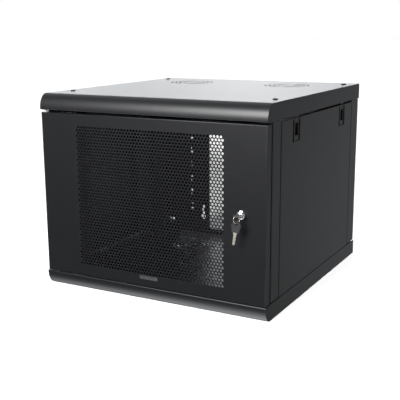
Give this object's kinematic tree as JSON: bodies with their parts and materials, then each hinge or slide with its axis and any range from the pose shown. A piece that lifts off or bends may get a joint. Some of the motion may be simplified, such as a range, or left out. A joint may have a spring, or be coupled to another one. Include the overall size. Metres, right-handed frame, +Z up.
{
  "type": "network server rack cabinet",
  "caption": "Wall-mount 19-inch network cabinet with a perforated lockable door, latched removable side panels, adjustable rack rails and an open rear for cables.",
  "frame": {"origin": "middle of the footprint, on the flat underside of the base", "axes": "+X to the right seen from the door, +Y towards the wall, +Z up"},
  "size_m": [0.6, 0.6514, 0.4846],
  "materials": {
    "black_powder_coat": "fine-textured semi-gloss black powder coat on steel sheet",
    "black_steel": "blackened steel",
    "chrome": "polished chrome plating",
    "zinc_steel": "bright zinc-plated steel",
    "nickel_wire": "nickel-plated spring wire",
    "black_nylon": "moulded black nylon",
    "key_plastic": "satin dark grey moulded key bow"
  },
  "bodies": {
    "cabinet": {"base_pan": "black_powder_coat", "cover_screw_front_left": "black_steel", "cover_screw_front_right": "black_steel", "cover_screw_rear_left": "black_steel", "cover_screw_rear_right": "black_steel", "front_post_left": "black_powder_coat", "front_post_right": "black_powder_coat", "lower_hinge_pin": "zinc_steel", "lower_rail_support_left": "black_powder_coat", "lower_rail_support_right": "black_powder_coat", "rear_panel": "black_powder_coat", "rear_post_left": "black_powder_coat", "rear_post_right": "black_powder_coat", "top_cover": "black_powder_coat", "upper_hinge_bush": "black_nylon", "upper_rail_support_left": "black_powder_coat", "upper_rail_support_right": "black_powder_coat"},
    "door": {"door_panel": "black_powder_coat", "door_stiffener_hinge_side": "black_powder_coat", "door_stiffener_lock_side": "black_powder_coat", "door_badge_plate": "black_steel", "upper_hinge_bracket": "zinc_steel", "lower_hinge_bracket": "zinc_steel", "upper_hinge_spring": "zinc_steel", "lock_body": "chrome", "lock_nut": "zinc_steel"},
    "upper_pin": {"upper_hinge_pin": "zinc_steel"},
    "lock_cylinder": {"lock_plug": "chrome", "lock_cam": "zinc_steel", "lock_cam_screw": "zinc_steel"},
    "key": {"key": "key_plastic"},
    "key_ring": {"key_ring": "nickel_wire"},
    "spare_key": {"spare_key": "key_plastic"},
    "left_panel": {"side_panel_left": "black_powder_coat", "front_latch_housing_left": "black_nylon", "front_latch_spring_left": "zinc_steel", "rear_latch_housing_left": "black_nylon", "rear_latch_spring_left": "zinc_steel"},
    "left_front_latch": {"front_latch_slider_left": "black_powder_coat"},
    "left_rear_latch": {"rear_latch_slider_left": "black_powder_coat"},
    "right_panel": {"side_panel_right": "black_powder_coat", "front_latch_housing_right": "black_nylon", "front_latch_spring_right": "zinc_steel", "rear_latch_housing_right": "black_nylon", "rear_latch_spring_right": "zinc_steel"},
    "right_front_latch": {"front_latch_slider_right": "black_powder_coat"},
    "right_rear_latch": {"rear_latch_slider_right": "black_powder_coat"},
    "front_rail_left": {"front_rail_left": "black_powder_coat", "front_rail_left_lower_bolt": "zinc_steel", "front_rail_left_upper_bolt": "zinc_steel"},
    "front_rail_right": {"front_rail_right": "black_powder_coat", "front_rail_right_lower_bolt": "zinc_steel", "front_rail_right_upper_bolt": "zinc_steel"},
    "rear_rail_left": {"rear_rail_left": "black_powder_coat", "rear_rail_left_lower_bolt": "zinc_steel", "rear_rail_left_upper_bolt": "zinc_steel"},
    "rear_rail_right": {"rear_rail_right": "black_powder_coat", "rear_rail_right_lower_bolt": "zinc_steel", "rear_rail_right_upper_bolt": "zinc_steel"}
  },
  "joints": [
    {"name": "door_hinge", "type": "hinge", "parent": "cabinet", "child": "door", "pos_m": [-0.2895, -0.299, 0.24], "axis": [0, 0, -1], "range_deg": [0, 180]},
    {"name": "upper_pin_slide", "type": "slide", "parent": "door", "child": "upper_pin", "axis": [0, 0, -1], "range_m": [0, 0.011], "stiffness_N_per_m": 800, "springref_m": -0.006, "deforming": ["upper_hinge_spring"]},
    {"name": "lock_turn", "type": "hinge", "parent": "door", "child": "lock_cylinder", "pos_m": [0.239, -0.3, 0.241], "axis": [0, 1, 0], "range_deg": [0, 90]},
    {"name": "key_pull", "type": "slide", "parent": "lock_cylinder", "child": "key", "axis": [0, -1, 0], "range_m": [0, 0.045]},
    {"name": "key_ring_swing", "type": "hinge", "parent": "key", "child": "key_ring", "pos_m": [0.2399, -0.33342, 0.241], "axis": [-0.5736, -0.8192, 0], "range_deg": [-30, 30]},
    {"name": "spare_key_swing", "type": "hinge", "parent": "key_ring", "child": "spare_key", "pos_m": [0.2399, -0.33342, 0.2283], "axis": [-0.1045, 0.9945, 0], "range_deg": [-30, 30]},
    {"name": "left_panel_off", "type": "slide", "parent": "cabinet", "child": "left_panel", "axis": [-1, 0, 0], "range_m": [0, 0.12]},
    {"name": "left_front_latch_slide", "type": "slide", "parent": "left_panel", "child": "left_front_latch", "axis": [0, 0, -1], "range_m": [0, 0.011], "stiffness_N_per_m": 500, "springref_m": -0.006, "deforming": ["front_latch_spring_left"]},
    {"name": "left_rear_latch_slide", "type": "slide", "parent": "left_panel", "child": "left_rear_latch", "axis": [0, 0, -1], "range_m": [0, 0.011], "stiffness_N_per_m": 500, "springref_m": -0.006, "deforming": ["rear_latch_spring_left"]},
    {"name": "right_panel_off", "type": "slide", "parent": "cabinet", "child": "right_panel", "axis": [1, 0, 0], "range_m": [0, 0.12]},
    {"name": "right_front_latch_slide", "type": "slide", "parent": "right_panel", "child": "right_front_latch", "axis": [0, 0, -1], "range_m": [0, 0.011], "stiffness_N_per_m": 500, "springref_m": -0.006, "deforming": ["front_latch_spring_right"]},
    {"name": "right_rear_latch_slide", "type": "slide", "parent": "right_panel", "child": "right_rear_latch", "axis": [0, 0, -1], "range_m": [0, 0.011], "stiffness_N_per_m": 500, "springref_m": -0.006, "deforming": ["rear_latch_spring_right"]},
    {"name": "front_rail_left_slide", "type": "slide", "parent": "cabinet", "child": "front_rail_left", "axis": [0, 1, 0], "range_m": [0, 0.12]},
    {"name": "front_rail_right_slide", "type": "slide", "parent": "cabinet", "child": "front_rail_right", "axis": [0, 1, 0], "range_m": [0, 0.12]},
    {"name": "rear_rail_left_slide", "type": "slide", "parent": "cabinet", "child": "rear_rail_left", "axis": [0, -1, 0], "range_m": [0, 0.12]},
    {"name": "rear_rail_right_slide", "type": "slide", "parent": "cabinet", "child": "rear_rail_right", "axis": [0, -1, 0], "range_m": [0, 0.12]}
  ]
}
